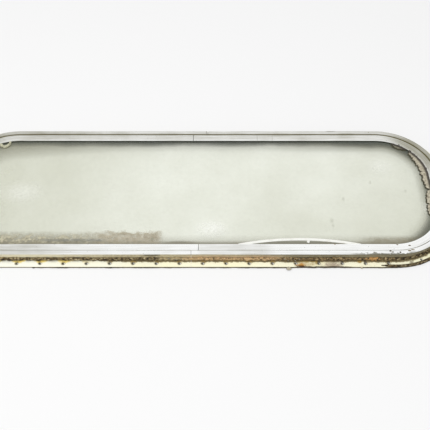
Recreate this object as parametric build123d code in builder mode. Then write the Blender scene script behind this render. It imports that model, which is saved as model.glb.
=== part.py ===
from build123d import *
import os

# Long round-cornered window of a touring caravan, standing upright as it sits in the wall.
# Millimetres. X runs along the window, +Z is up and the outside of the caravan faces -Y.
# Origin: back face of the screw flange, on the line of the lower screws, at mid length.

# Daylight opening, the clear glass inside the glazing ring
daylight_width = 830.0
daylight_height = 236.0
daylight_radius = 85.0

# Glass and the rubber channel round its edge
glass_thickness = 3.0
glass_cover = 11.5
channel_lip = 1.0
channel_web = 1.5
channel_grip = 6.5
channel_clearance = 0.3

# Glazing ring that holds the glass in, bent from a sloping aluminium strip
ring_width = 13.5
ring_sheet = 1.4
ring_slope_drop = 1.2
ring_leg_height = 2.9
ring_leg_thickness = 1.5
ring_edge_bevel = 0.4
ring_joint_top_x = -7.0
ring_joint_bottom_x = 6.0
ring_joint_gap = 0.8
groove_width = 1.0

# Outer frame, bent from a hat-shaped aluminium section with the channel open to the back
land_width = 8.0
land_above_ring = 1.5
frame_sheet = 1.8
leg_thickness = 1.6
stop_height = 7.0
stop_thickness = 1.6
stop_reach = 12.5
flange_width = 14.5
flange_thickness = 2.0
land_edge_bevel = 0.6
flange_edge_bevel = 0.5
frame_joint_top_x = 20.0
frame_joint_bottom_x = -6.0
frame_joint_gap = 0.6

# Screw holes along the flange
screw_hole_diameter = 5.0
screw_pitch = 38.1
end_screw_pitch = 57.0
screw_row_shift = -6.0

# Plates that bridge the frame joints inside the open channel
splice_length = 60.0
splice_thickness = 2.2
splice_clearance = 0.2

# Old bedding mastic left along the foot of the frame wall
bead_width = 4.2
bead_height = 6.0
bead_bulge = 0.8
bead_break = 3.0
bead_corner_lead = 20.0

# Glazing strip that has sprung loose along the lower edge and bows up over the glass
strip_width = 4.8
strip_thickness = 1.0
strip_start_x = 72.0
strip_end_x = 274.0
strip_tuck = 3.0
strip_bow = 11.5

# Sealant squeezed out from under the ring on to the glass at both ends
sealant_tuck = 4.3
sealant_right_spread = 12.0
sealant_left_spread = 6.0
sealant_thickness = 1.0
sealant_thin_edge = 0.5
sealant_right_angle = 45.0
sealant_left_angle = 38.0
sealant_lower_angle = 25.0
flake_from_angle = 69.0
flake_to_angle = 48.5
flake_depth = 8.0

# Places across the section, outward from the daylight edge
land_inner = ring_width + groove_width
land_outer = land_inner + land_width
wall_inner = land_outer - frame_sheet
leg_outer = land_inner + leg_thickness
stop_inner = land_inner - stop_reach
flange_outer = land_outer + flange_width
screw_line = land_outer + flange_width / 2
channel_inner = glass_cover - channel_grip
channel_outer = glass_cover + channel_clearance + channel_web

# Places through the section, forward from the back of the flange
stop_front = stop_height + stop_thickness
glass_back = stop_front + channel_lip
glass_front = glass_back + glass_thickness
ring_seat = glass_front + channel_lip
ring_top = ring_seat + ring_leg_height
ring_inner_top = ring_top - ring_slope_drop
frame_depth = ring_top + land_above_ring
land_under = frame_depth - frame_sheet

# Half sizes of the daylight opening, and its straight runs
half_width = daylight_width / 2
half_height = daylight_height / 2
run_half = half_width - daylight_radius
side_half = half_height - daylight_radius

# Window plane: local X along the window, local Y up, normal to the outside
window_plane = Plane(origin=(0, 0, half_height + screw_line), x_dir=(1, 0, 0), z_dir=(0, -1, 0))


def save(builder, node_name):
    builder.part.label = node_name
    export_step(builder.part, f"parts/{node_name}.step")


def half_path(start_x, end_x, side):
    """Half of the daylight outline, clockwise from outside: side is 1 for the right half, -1 for the left."""
    with BuildLine(window_plane) as path:
        FilletPolyline(
            (start_x, side * half_height),
            (side * half_width, side * half_height),
            (side * half_width, -side * half_height),
            (end_x, -side * half_height),
            radius=daylight_radius,
        )
    return path.wires()[0]


def section_plane(start_x, side):
    """Plane across the start of a half path: local X points outward, local Y to the outside."""
    start = window_plane.from_local_coords((start_x, side * half_height))
    return Plane(origin=start, x_dir=(0, 0, side), z_dir=(side, 0, 0))


def frame_section(plane):
    """Hat section: screw flange, wall, front land, inner leg and the stop behind the glass."""
    with BuildSketch(plane) as section:
        with BuildLine():
            Polyline(
                (flange_outer, 0),
                (flange_outer, flange_thickness),
                (land_outer, flange_thickness),
                (land_outer, frame_depth),
                (land_inner, frame_depth),
                (land_inner, stop_front),
                (stop_inner, stop_front),
                (stop_inner, stop_height),
                (leg_outer, stop_height),
                (leg_outer, land_under),
                (wall_inner, land_under),
                (wall_inner, 0),
                close=True,
            )
        make_face()
        land_corners = section.vertices().group_by(Axis.Y)[-1]
        chamfer(land_corners, land_edge_bevel)
        flange_tip = section.vertices().group_by(Axis.X)[-1].sort_by(Axis.Y)[-1]
        chamfer(flange_tip, flange_edge_bevel)
    return section.sketch


def ring_section(plane):
    """Sloping face strip with a leg that stands on the rubber channel."""
    leg_inner = ring_width - ring_leg_thickness
    face_slope = ring_slope_drop / ring_width
    with BuildSketch(plane) as section:
        with BuildLine():
            Polyline(
                (0, ring_inner_top),
                (ring_width, ring_top),
                (ring_width, ring_seat),
                (leg_inner, ring_seat),
                (leg_inner, ring_inner_top + leg_inner * face_slope - ring_sheet),
                (0, ring_inner_top - ring_sheet),
                close=True,
            )
        make_face()
        face_inner_edge = section.vertices().group_by(Axis.X)[0].sort_by(Axis.Y)[-1]
        face_outer_edge = section.vertices().sort_by(Axis.Y)[-1]
        chamfer([face_inner_edge, face_outer_edge], ring_edge_bevel)
    return section.sketch


def screw_points():
    """Hole centres on the flange: even rows along the top and bottom, and the ends shared out between them."""
    row_count = 2 * int((run_half - abs(screw_row_shift)) / screw_pitch + 0.5)
    row_half = (row_count - 1) * screw_pitch / 2
    row_height = half_height + screw_line
    points = []
    for row_z in (-row_height, row_height):
        points += [(screw_row_shift - row_half + step * screw_pitch, row_z) for step in range(row_count)]
    for side in (-1, 1):
        row_end = screw_row_shift + side * row_half
        end_x = side * (half_width + screw_line)
        with BuildLine() as end_run:
            FilletPolyline(
                (row_end, row_height),
                (end_x, row_height),
                (end_x, -row_height),
                (row_end, -row_height),
                radius=daylight_radius + screw_line,
            )
        run_wire = end_run.wires()[0]
        gaps = round(run_wire.length / end_screw_pitch)
        points += [(run_wire @ (step / gaps)) for step in range(1, gaps)]
    return points


def outer_frame(start_x, end_x, side):
    """One bent half of the outer frame, with its screw holes."""
    with BuildPart() as half:
        sweep(sections=frame_section(section_plane(start_x, side)), path=half_path(start_x, end_x, side))
        with BuildSketch(window_plane):
            with Locations(*screw_points()):
                Circle(screw_hole_diameter / 2)
        extrude(amount=flange_thickness, mode=Mode.SUBTRACT)
    return half


def glazing_ring(start_x, end_x, side):
    """One bent half of the glazing ring."""
    with BuildPart() as half:
        sweep(sections=ring_section(section_plane(start_x, side)), path=half_path(start_x, end_x, side))
    return half


def splice_plate(joint_x, side):
    """Flat bar under the front land, bridging the joint of the two frame halves."""
    plate_inner = leg_outer + splice_clearance
    plate_outer = wall_inner - splice_clearance
    plate_centre = half_height + (plate_inner + plate_outer) / 2
    with BuildPart() as plate:
        with BuildSketch(window_plane.offset(land_under - splice_thickness)):
            with Locations((joint_x, side * plate_centre)):
                Rectangle(splice_length, plate_outer - plate_inner)
        extrude(amount=splice_thickness)
    return plate


def bead_section(plane):
    """Bulging fillet of mastic between the flange and the foot of the wall."""
    foot = Vector(land_outer, flange_thickness)
    toe = foot + (bead_width, 0)
    crest = foot + (0, bead_height)
    knee = (toe + crest) / 2 + Vector(bead_height, bead_width).normalized() * bead_bulge
    with BuildSketch(plane) as section:
        with BuildLine():
            Polyline(foot, toe, knee, crest, close=True)
        make_face()
    return section.sketch


def mastic_run(side):
    """Straight run of mastic: side is 1 along the top and -1 along the bottom."""
    start_x = -side * (run_half - bead_corner_lead - bead_break)
    with BuildLine(window_plane) as path:
        Line((start_x, side * half_height), (-start_x, side * half_height))
    with BuildPart() as bead:
        sweep(sections=bead_section(section_plane(start_x, side)), path=path.wires()[0])
    return bead


def mastic_end(side):
    """Mastic round one end of the window: side is 1 for the right end and -1 for the left."""
    start_x = side * (run_half - bead_corner_lead)
    with BuildPart() as bead:
        sweep(sections=bead_section(section_plane(start_x, side)), path=half_path(start_x, start_x, side))
    return bead


def squeezed_sealant(start_angle, spread, side):
    """Sealant squeezed out round the upper corner of one end, down its straight side and into the lower corner."""
    arc_from = 90 - side * (90 - start_angle)
    with BuildLine(window_plane) as path:
        CenterArc((side * run_half, side_half), daylight_radius, arc_from, -side * start_angle)
        Line((side * half_width, side_half), (side * half_width, -side_half))
        CenterArc((side * run_half, -side_half), daylight_radius, 90 - side * 90, -side * sealant_lower_angle)
    edge = path.wires()[0]
    outward = Vector(side, 0, 0).rotate(Axis.Y, -side * start_angle)
    with BuildPart() as smear:
        with BuildSketch(Plane(origin=edge @ 0, x_dir=outward, z_dir=(edge % 0) * side)):
            with BuildLine():
                Polyline(
                    (sealant_tuck, glass_front),
                    (sealant_tuck, glass_front + sealant_thickness),
                    (-spread, glass_front + sealant_thin_edge),
                    (-spread, glass_front),
                    close=True,
                )
            make_face()
        sweep(path=edge)
    return smear


os.makedirs("parts", exist_ok=True)

# Outer frame halves, butted along the top and bottom
frame_right = outer_frame(frame_joint_top_x + frame_joint_gap / 2, frame_joint_bottom_x + frame_joint_gap / 2, 1)
save(frame_right, "outer_frame_right")
frame_left = outer_frame(frame_joint_bottom_x - frame_joint_gap / 2, frame_joint_top_x - frame_joint_gap / 2, -1)
save(frame_left, "outer_frame_left")

# Glazing ring halves
ring_right = glazing_ring(ring_joint_top_x + ring_joint_gap / 2, ring_joint_bottom_x + ring_joint_gap / 2, 1)
save(ring_right, "glazing_ring_right")
ring_left = glazing_ring(ring_joint_bottom_x - ring_joint_gap / 2, ring_joint_top_x - ring_joint_gap / 2, -1)
save(ring_left, "glazing_ring_left")

# Splice plates
save(splice_plate(frame_joint_top_x, 1), "top_splice_plate")
save(splice_plate(frame_joint_bottom_x, -1), "bottom_splice_plate")

# Glass pane
with BuildPart() as glass_pane:
    with BuildSketch(window_plane.offset(glass_back)):
        RectangleRounded(
            daylight_width + 2 * glass_cover,
            daylight_height + 2 * glass_cover,
            daylight_radius + glass_cover,
        )
    extrude(amount=glass_thickness)
save(glass_pane, "glass_pane")

# Rubber channel round the edge of the glass
with BuildPart() as glazing_channel:
    with BuildSketch(window_plane.offset(stop_front)):
        RectangleRounded(
            daylight_width + 2 * channel_outer,
            daylight_height + 2 * channel_outer,
            daylight_radius + channel_outer,
        )
        RectangleRounded(
            daylight_width + 2 * channel_inner,
            daylight_height + 2 * channel_inner,
            daylight_radius + channel_inner,
            mode=Mode.SUBTRACT,
        )
    extrude(amount=ring_seat - stop_front)
    with BuildSketch(window_plane.offset(glass_back)):
        slot = glass_cover + channel_clearance
        RectangleRounded(
            daylight_width + 2 * slot,
            daylight_height + 2 * slot,
            daylight_radius + slot,
        )
    extrude(amount=glass_thickness, mode=Mode.SUBTRACT)
save(glazing_channel, "glazing_channel")

# Mastic round the foot of the wall
save(mastic_run(1), "mastic_bead_top")
save(mastic_run(-1), "mastic_bead_bottom")
save(mastic_end(1), "mastic_bead_right")
save(mastic_end(-1), "mastic_bead_left")

# Loose glazing strip, its ends still tucked behind the ring and its middle sprung up over the glass
with BuildPart() as loose_strip:
    with BuildSketch(window_plane.offset(glass_front)):
        with BuildLine():
            strip_end_z = -half_height - strip_tuck + strip_width / 2
            SagittaArc((strip_start_x, strip_end_z), (strip_end_x, strip_end_z), strip_bow)
        trace(line_width=strip_width)
    extrude(amount=strip_thickness)
save(loose_strip, "loose_glazing_strip")

# Squeezed-out sealant at the two ends
save(squeezed_sealant(sealant_right_angle, sealant_right_spread, 1), "squeezed_sealant_right")
save(squeezed_sealant(sealant_left_angle, sealant_left_spread, -1), "squeezed_sealant_left")

# Torn flake of sealant above the right-hand smear
with BuildPart() as sealant_flake:
    with BuildSketch(window_plane.offset(glass_front)):
        with BuildLine():
            CenterArc((run_half, side_half), daylight_radius, flake_from_angle, flake_to_angle - flake_from_angle)
            flake_start = Vector(run_half, side_half) + Vector(daylight_radius, 0).rotate(Axis.Z, flake_from_angle)
            flake_end = Vector(run_half, side_half) + Vector(daylight_radius, 0).rotate(Axis.Z, flake_to_angle)
            SagittaArc(flake_end, flake_start, flake_depth)
        make_face()
    extrude(amount=sealant_thickness)
save(sealant_flake, "sealant_flake")
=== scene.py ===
import math
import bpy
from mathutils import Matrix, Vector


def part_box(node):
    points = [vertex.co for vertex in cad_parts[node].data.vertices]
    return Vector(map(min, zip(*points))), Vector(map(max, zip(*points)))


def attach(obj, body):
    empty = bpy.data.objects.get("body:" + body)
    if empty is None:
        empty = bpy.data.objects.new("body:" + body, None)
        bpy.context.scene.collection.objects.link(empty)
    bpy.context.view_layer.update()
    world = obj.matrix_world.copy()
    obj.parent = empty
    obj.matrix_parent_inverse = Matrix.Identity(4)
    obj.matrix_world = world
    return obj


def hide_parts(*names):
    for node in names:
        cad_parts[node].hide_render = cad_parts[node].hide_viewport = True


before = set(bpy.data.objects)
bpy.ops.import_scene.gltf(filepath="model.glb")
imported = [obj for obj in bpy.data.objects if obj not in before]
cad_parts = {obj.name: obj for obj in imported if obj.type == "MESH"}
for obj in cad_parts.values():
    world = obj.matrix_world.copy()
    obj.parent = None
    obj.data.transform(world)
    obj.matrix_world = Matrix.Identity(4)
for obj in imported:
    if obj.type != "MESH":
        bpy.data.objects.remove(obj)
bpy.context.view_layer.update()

from types import SimpleNamespace

import bpy
from mathutils import Matrix, Vector, noise

# Old caravan window lying on a pale board, outside face up: metres, outside of the caravan towards -Y.
# Sizes of the real thing are written in millimetres and turned to metres by MM. Finishes work in millimetres.
MM = 0.001

# Window outline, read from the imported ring: the daylight opening inside it carries every band of dirt
ring_width = 13.5 * MM
corner_radius = 85 * MM
ring_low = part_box("glazing_ring_left")[0]
ring_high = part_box("glazing_ring_right")[1]
centre_z = (ring_low.z + ring_high.z) / 2
half_width = ring_high.x - ring_width
half_height = (ring_high.z - ring_low.z) / 2 - ring_width
run_half = half_width - corner_radius
side_half = half_height - corner_radius

# Faces of the section: two as Y, negative towards the outside, and two as distances out from the daylight
# edge
glass_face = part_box("glass_pane")[0].y
flange_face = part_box("mastic_bead_bottom")[1].y
wall_out = centre_z - half_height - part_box("mastic_bead_bottom")[1].z
flange_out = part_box("outer_frame_right")[1].x - half_width

# Screw rows: their line midway across the flange, their pitch and the shift of their middle in millimetres
screw_line = (wall_out + flange_out) / 2
screw_pitch = 38.1
screw_row_shift = -6.0


# Shared small tools


def colour(hex_value):
    """Linear colour of an sRGB hex value."""
    parts = [int(hex_value[i:i + 2], 16) / 255 for i in (1, 3, 5)]
    return (*[p / 12.92 if p <= 0.04045 else ((p + 0.055) / 1.055) ** 2.4 for p in parts], 1.0)


def add(tree, kind, inputs=(), out=0, **settings):
    """Adds one node and returns its output. Inputs, by order or name, are values, hex colours or outputs."""
    node = tree.nodes.new("ShaderNode" + kind)
    for name, value in settings.items():
        setattr(node, name, value)
    pairs = inputs.items() if isinstance(inputs, dict) else enumerate(inputs)
    for key, value in pairs:
        if isinstance(value, bpy.types.NodeSocket):
            tree.links.new(value, node.inputs[key])
        else:
            node.inputs[key].default_value = colour(value) if isinstance(value, str) else value
    if out is None or not node.outputs:
        return node
    return node.outputs[out]


def combine(tree, operation, *parts):
    """Several values or masks made one, in their order, by an operation such as ADD or MAXIMUM."""
    result = parts[0]
    for part in parts[1:]:
        result = add(tree, "Math", (result, part), operation=operation)
    return result


def times(tree, *masks):
    """Product of several values or masks."""
    return combine(tree, "MULTIPLY", *masks)


def new_material(name):
    material = bpy.data.materials.new(name)
    material.use_nodes = True
    material.node_tree.nodes.clear()
    return material, material.node_tree


def surfaced(material, face, rough, metal=0.0, height=None, strength=0.0, depth=0.0):
    """Gives a material its colour, roughness, share of bare metal, and a relief of a strength and depth."""
    tree = material.node_tree
    inputs = {"Base Color": face, "Roughness": rough, "Metallic": metal}
    if height is not None:
        inputs["Normal"] = add(tree, "Bump", {"Strength": strength, "Distance": depth * MM, "Height": height})
    surface = add(tree, "BsdfPrincipled", inputs)
    add(tree, "OutputMaterial", {"Surface": surface})
    return material


def window_place(tree):
    """Where a point of the window is, in millimetres from its centre.

    x along, z up, d forward from the back of the flange and u outward from the daylight edge."""
    seat = add(tree, "TexCoord", out="Object")
    from_centre = add(tree, "VectorMath", (seat, (0, 0, centre_z)), operation="SUBTRACT")
    spot = add(tree, "VectorMath", {0: from_centre, "Scale": 1 / MM}, operation="SCALE")
    parts = add(tree, "SeparateXYZ", (spot,), out=None)
    depth = times(tree, parts.outputs["Y"], -1.0)
    reach = add(tree, "VectorMath", (spot,), operation="ABSOLUTE")
    past = add(tree, "VectorMath", (reach, (run_half / MM, 0, side_half / MM)), operation="SUBTRACT")
    flat = add(tree, "VectorMath", (past, (1, 0, 1)), operation="MULTIPLY")
    corner = add(tree, "VectorMath", (flat, (0, 0, 0)), operation="MAXIMUM")
    round_out = add(tree, "VectorMath", (corner,), out="Value", operation="LENGTH")
    sides = add(tree, "SeparateXYZ", (flat,), out=None)
    nearest = add(tree, "Math", (sides.outputs["X"], sides.outputs["Z"]), operation="MAXIMUM")
    within = add(tree, "Math", (nearest, 0.0), operation="MINIMUM")
    total = add(tree, "Math", (round_out, within), operation="ADD")
    outward = add(tree, "Math", (total, corner_radius / MM), operation="SUBTRACT")
    return SimpleNamespace(spot=spot, x=parts.outputs["X"], z=parts.outputs["Z"], d=depth, u=outward)


def window_material(name):
    """New material, its tree, and where a point of the window is."""
    material, tree = new_material(name)
    return material, tree, window_place(tree)


def laid_over(tree, base, *layers):
    """Colour of a base under layers, each a mask and a colour."""
    face = base
    for mask, tint in layers:
        face = add(tree, "Mix", {0: mask, 6: face, 7: tint}, out=2, data_type="RGBA")
    return face


def away(tree, value, middle):
    """How far a value lies from a middle, either way."""
    off = add(tree, "Math", (value, middle), operation="SUBTRACT")
    return add(tree, "Math", (off,), operation="ABSOLUTE")


def stretch(tree, value, start, full, last, end):
    """1 from full to last, falling softly to 0 at start and at end."""
    rise = add(tree, "MapRange", (value, start, full, 0.0, 1.0), interpolation_type="SMOOTHSTEP")
    fall = add(tree, "MapRange", (value, last, end, 1.0, 0.0), interpolation_type="SMOOTHSTEP")
    return times(tree, rise, fall)


def lower_stretch(tree, place, run):
    """1 on a stretch of the bottom run."""
    lower_run = add(tree, "MapRange", (place.z, -60.0, -110.0, 0.0, 1.0))
    return times(tree, stretch(tree, place.x, *run), lower_run)


def patch(tree, place, oval, full, end, amount, frayed=None, fade="LINEAR"):
    """Oval patch on the window's face: its middle's x and z and its half sizes along and up, in millimetres.

    It has its whole amount up to full and none past end, both as shares of its half sizes. Frayed shifts
    its rim."""
    x, z, half_along, half_up = oval
    from_middle = add(tree, "VectorMath", (place.spot, (x, 0, z)), operation="SUBTRACT")
    in_halves = add(tree, "VectorMath", (from_middle, (1 / half_along, 0, 1 / half_up)), operation="MULTIPLY")
    reach = add(tree, "VectorMath", (in_halves,), out="Value", operation="LENGTH")
    if frayed is not None:
        reach = add(tree, "Math", (reach, frayed), operation="ADD")
    return add(tree, "MapRange", (reach, full, end, amount, 0.0), interpolation_type=fade)


# Materials


def aluminium_face(tree, place):
    """Colour, roughness, height, and dirt with painted shade, of old drawn aluminium.

    Draw lines follow the strip, grey oxide clouds it, pin pits are dark and olive dirt has packed into the
    groove between land and ring, with painted shade added there, most along the top. The whole top run is
    painted darker than the bottom, as painted shade, and a painted shadow lies on the land's outer edge at
    the upper right. The top run has dulled most at its ends, then the left of the bottom run and a stretch
    past its middle joint. Real draw lines lie a tenth of a millimetre apart: they are drawn coarser here, to
    show."""
    draw_line = 1.3
    line_length = 60.0
    cloud_size = 34.0
    pit_spacing = 9.0
    creep_size = 8.0
    groove_middle = 14.0
    lengthwise = add(tree, "VectorMath", {0: place.spot, "Scale": 1 / line_length}, operation="SCALE")
    across = times(tree, place.u, 1 / draw_line)
    level_across = add(tree, "CombineXYZ", (0.0, across, 0.0))
    line_place = add(tree, "VectorMath", (lengthwise, level_across), operation="ADD")
    lines = add(tree, "TexNoise", {"Vector": line_place, "Scale": 1.0, "Detail": 2.0})
    clouds = add(tree, "TexNoise", {"Vector": place.spot, "Scale": 1 / cloud_size, "Detail": 3.0})
    pits = add(tree, "TexVoronoi", {"Vector": place.spot, "Scale": 1 / pit_spacing}, out="Distance")
    pit_mask = add(tree, "MapRange", (pits, 0.05, 0.11, 0.5, 0.0))

    # Painted shade darkening the top run against the bottom, dulled stretches, the edge by the glass that was
    # rubbed bright, and clouds and draw lines
    low = add(tree, "MapRange", (place.z, -20.0, -90.0, 0.0, 1.0))
    high = add(tree, "MapRange", (place.z, -40.0, 60.0, 0.0, 1.0))
    left_low = add(tree, "MapRange", (place.x, -130.0, -300.0, 0.0, 0.48))
    left_high = add(tree, "MapRange", (place.x, -170.0, -300.0, 0.0, 0.3))
    land_more = add(tree, "MapRange", (place.u, groove_middle - 0.5, groove_middle + 0.5, 0.35, 1.0))
    right_high = add(tree, "MapRange", (place.x, 340.0, 400.0, 0.0, 0.52))
    past_joint = add(tree, "MapRange", (place.x, 2.0, 10.0, 0.0, 0.24))
    joint_side = add(tree, "MapRange", (place.x, 115.0, 135.0, 1.0, 0.0))
    dulled_and_shaded = combine(
        tree, "ADD",
        # Painted shade: darker up the window, the top run most
        add(tree, "MapRange", (place.z, -112.0, 118.0, -0.14, 0.26)),
        times(tree, left_low, low),
        times(tree, past_joint, joint_side, low),
        times(tree, left_high, land_more, high),
        times(tree, right_high, high),
        add(tree, "MapRange", (place.u, 0.5, 5.0, -0.2, 0.0)),
        add(tree, "MapRange", (clouds, 0.42, 0.72, 0.0, 0.16)),
        add(tree, "MapRange", (lines, 0.36, 0.66, 0.0, 0.34)),
    )
    grey = add(tree, "Clamp", (dulled_and_shaded,))

    # Dirt and painted shade: dirt in the groove, with painted shade thickening it along the top; a painted
    # shadow on the land's outer edge at the upper right; dirt crept on to that edge at the lower right and in
    # a nick of it; and knocks across the top
    by_groove = add(tree, "MapRange", (away(tree, place.u, groove_middle), 0.7, 1.8, 1.0, 0.0))
    # More towards the top: painted shade in the groove, over its dirt
    groove_share = add(tree, "MapRange", (place.z, -110.0, 100.0, 0.15, 0.6))
    groove_broken = add(tree, "MapRange", (clouds, 0.35, 0.6, 0.55, 1.0))
    # Painted shadow on the land's outer edge at the upper right
    outer_edge = add(tree, "MapRange", (place.u, 21.0, 22.0, 0.0, 0.5))
    right_end = add(tree, "MapRange", (place.x, 200.0, 300.0, 0.0, 1.0))
    ragged = add(tree, "TexNoise", {"Vector": place.spot, "Scale": 1 / creep_size, "Detail": 4.0})
    ragged_in = add(tree, "MapRange", (ragged, 0.3, 0.7, -3.0, 3.0))
    ragged_out = add(tree, "Math", (place.u, ragged_in), operation="ADD")
    crept = add(tree, "MapRange", (ragged_out, 19.8, 21.6, 0.0, 0.85))
    crept_along = stretch(tree, place.x, 235.0, 300.0, 345.0, 375.0)
    nick = patch(tree, place, (250.0, 139.8, 13.0, 2.2), 0.5, 1.0, 0.65)
    dirt_and_shade_parts = [
        times(tree, by_groove, groove_share, groove_broken),
        times(tree, outer_edge, right_end, high),
        times(tree, crept, crept_along, low),
        nick,
    ]
    on_land = add(tree, "MapRange", (place.u, groove_middle, groove_middle + 0.2, 0.0, 1.0))
    on_ring = add(tree, "Math", (1.0, on_land), operation="SUBTRACT")
    for knock_x, amount, where in ((17.2, 0.5, on_land), (112.0, 0.25, on_ring), (140.0, 0.2, on_ring)):
        knock = add(tree, "MapRange", (away(tree, place.x, knock_x), 0.4, 1.2, amount, 0.0))
        dirt_and_shade_parts.append(times(tree, knock, high, where))
    dirt_and_shade = combine(tree, "MAXIMUM", *dirt_and_shade_parts)
    face = laid_over(tree, "#F8F9F8", (grey, "#A8A697"), (pit_mask, "#6E6C66"), (dirt_and_shade, "#5E5A42"))
    rough = add(tree, "MapRange", (grey, 0.0, 1.0, 0.26, 0.5))
    height = add(tree, "Math", (lines, pit_mask), operation="SUBTRACT")
    return face, rough, height, dirt_and_shade


def drawn_aluminium():
    """Drawn aluminium glazing strip: satin, bright where rubbed, grey with oxide and painted shade, its outer
    leg with grime and painted shade.
    """
    material, tree, place = window_material("drawn_aluminium")
    bright, rough, height, dirt_and_shade = aluminium_face(tree, place)
    # The ring's outer leg, down in the groove: grime and painted shade
    outer = add(tree, "MapRange", (place.u, ring_width / MM - 0.4, ring_width / MM - 0.1, 0.0, 1.0))
    under_face = add(tree, "MapRange", (place.d, 16.2, 16.0, 0.0, 1.0))
    leg = times(tree, outer, under_face)
    dirty_and_shaded = add(tree, "Math", (dirt_and_shade, leg), operation="MAXIMUM")
    bare = add(tree, "Math", (1.0, dirty_and_shaded), operation="SUBTRACT")
    return surfaced(material, laid_over(tree, bright, (leg, "#A69B62")), rough, bare, height, 0.12, 0.2)


# Stretches of the bottom run, in millimetres along it: stained by rust, a little rusty, with pale and thin
# mastic, and with a black-brown edge
rust_run = (-35.0, 5.0, 115.0, 165.0)
warm_run = (120.0, 165.0, 300.0, 345.0)
pale_run = (-62.0, -54.0, -10.0, 25.0)
dark_edge_run = (160.0, 182.0, 235.0, 268.0)


def frame_back(tree, place, in_groove):
    """Back and inner faces of the frame, and their mastic smears: dull metal, olive with grime and painted
    shade beside the ring.
    """
    smear_size = 16.0
    smear_noise = add(tree, "TexNoise", {"Vector": place.spot, "Scale": 1 / smear_size, "Detail": 5.0})
    smears = add(tree, "MapRange", (smear_noise, 0.38, 0.66, 0.0, 1.0))
    return laid_over(tree, "#BDBCB5", (smears, "#8A7D64"), (in_groove, "#857B4C")), smears


def frame_wall(tree, place, grime):
    """Wall of the frame: grime, dark at the foot and to the right, and orange-brown past the middle.

    Cream paint is left on its upper part at the left; under the land hang a painted shadow, stronger to the
    right, and a dark smudge."""
    grime_mix = add(tree, "MapRange", (grime, 0.34, 0.66, 0.0, 1.0))
    foot = laid_over(tree, "#3A3021", (grime_mix, "#B8A67C"))
    upper_left = laid_over(tree, "#A09270", (grime_mix, "#DDD0AA"))
    upper_right = laid_over(tree, "#5A5138", (grime_mix, "#8F8565"))
    to_right = add(tree, "MapRange", (place.x, 20.0, 190.0, 0.0, 1.0))
    rise = add(tree, "MapRange", (place.d, 6.0, 11.0, 0.0, 1.0))
    orange_patch = add(tree, "MapRange", (grime, 0.35, 0.62, 0.3, 0.95))
    orange_low = add(tree, "MapRange", (place.d, 15.5, 12.0, 0.3, 1.0))
    cream_left = add(tree, "MapRange", (place.x, -120.0, -240.0, 0.15, 0.95))
    cream_top = add(tree, "MapRange", (place.d, 8.5, 10.5, 0.0, 1.0))
    # Painted shadow under the land's edge, stronger to the right
    under_land = add(tree, "MapRange", (place.d, 14.0, 16.0, 0.0, 0.6))
    under_right = add(tree, "MapRange", (place.x, 30.0, 150.0, 0.15, 1.0))
    smudge = patch(tree, place, (-71.0, -140.5, 16.0, 60.0), 0.6, 1.0, 1.0)
    smudge_up = add(tree, "MapRange", (place.d, 11.5, 13.5, 0.0, 0.75))
    shadow_under_land = times(tree, under_land, under_right)
    smudged = times(tree, smudge, smudge_up)
    smudge_and_shadow = add(tree, "Math", (shadow_under_land, smudged), operation="MAXIMUM")
    return laid_over(
        tree, foot,
        (rise, laid_over(tree, upper_left, (to_right, upper_right))),
        (times(tree, lower_stretch(tree, place, rust_run), orange_patch, orange_low), "#CFAE86"),
        (times(tree, cream_left, cream_top), "#FFF6D4"),
        (smudge_and_shadow, "#584F38"),
    )


def flange_enamel(tree, place, grime, from_screw, by_wall):
    """Cream enamel of the flange: yellower from the middle on, lemon stains under the wall at the left.

    Grime has crept on to it from the wall."""
    patch_size = 60.0
    patches = add(tree, "TexNoise", {"Vector": place.spot, "Scale": 1 / patch_size, "Detail": 3.0})
    patchy = add(tree, "MapRange", (patches, 0.4, 0.7, 0.6, 1.0))
    yellowed = add(tree, "MapRange", (place.x, -260.0, -40.0, 0.1, 1.0))
    slant = add(tree, "MapRange", (place.u, 23.0, 30.0, 3.0, 0.0))
    slanted = add(tree, "Math", (from_screw, slant), operation="SUBTRACT")
    to_screw = add(tree, "Math", (slanted, screw_pitch / 2), operation="PINGPONG")
    run_width = add(tree, "MapRange", (place.u, 23.0, 31.0, 16.0, 2.0))
    frayed = add(tree, "MapRange", (grime, 0.3, 0.7, -4.0, 4.0))
    frayed_width = add(tree, "Math", (run_width, frayed), operation="ADD")
    past_run = add(tree, "Math", (to_screw, frayed_width), operation="SUBTRACT")
    in_run = add(tree, "MapRange", (past_run, -6.0, 2.0, 1.0, 0.0), interpolation_type="SMOOTHSTEP")
    stained = add(tree, "MapRange", (place.x, -170.0, -200.0, 0.12, 0.9))
    creep = add(tree, "MapRange", (place.x, -230.0, -110.0, 21.8, 27.0))
    crept_in = add(tree, "MapRange", (grime, 0.3, 0.7, -1.6, 1.6))
    crept_to = add(tree, "Math", (creep, crept_in), operation="ADD")
    past_creep = add(tree, "Math", (place.u, crept_to), operation="SUBTRACT")
    crept = add(tree, "MapRange", (past_creep, -0.3, 0.9, 0.92, 0.0))
    return laid_over(
        tree, "#FFFFF2",
        (times(tree, patchy, yellowed), "#FFFBD4"),
        (times(tree, in_run, by_wall, stained), "#FFE272"),
        (crept, "#7E6D48"),
    )


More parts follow.
